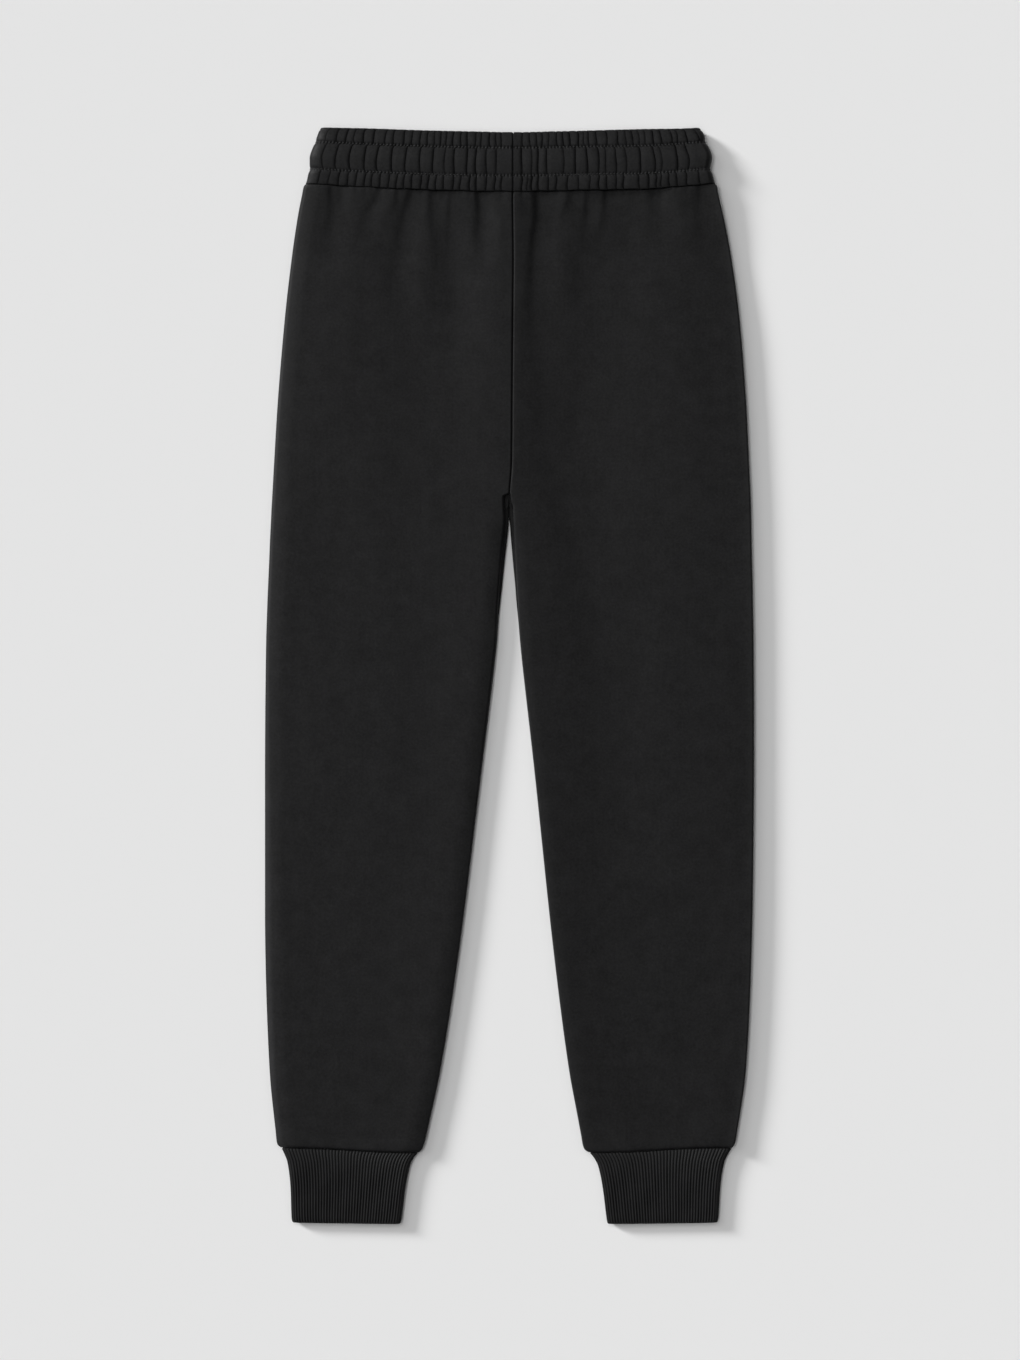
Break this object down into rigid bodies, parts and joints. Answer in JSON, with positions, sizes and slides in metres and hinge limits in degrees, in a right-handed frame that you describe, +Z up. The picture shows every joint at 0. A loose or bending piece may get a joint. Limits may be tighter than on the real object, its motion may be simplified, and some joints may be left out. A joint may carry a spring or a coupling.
{
  "type": "jogger sweatpants",
  "caption": "Jogger sweatpants laid flat with the back up: gathered elastic waistband, tapered legs, ribbed ankle cuffs.",
  "frame": {"origin": "middle of the footprint, on the surface the garment lies on", "axes": "+Y towards the waist, +Z up from the surface, towards the wearer's back, +X towards the wearer's right leg"},
  "size_m": [0.4406, 0.988, 0.015],
  "materials": {
    "fleece": "matt brushed-back fleece jersey, charcoal black",
    "waistband": "matt fleece jersey gathered over elastic, charcoal black",
    "rib": "matt rib knit, black"
  },
  "bodies": {
    "root": {"waistband": "waistband", "left_back_leg": "fleece", "right_back_leg": "fleece", "left_front_leg": "fleece", "right_front_leg": "fleece", "left_cuff": "rib", "right_cuff": "rib"}
  },
  "joints": []
}
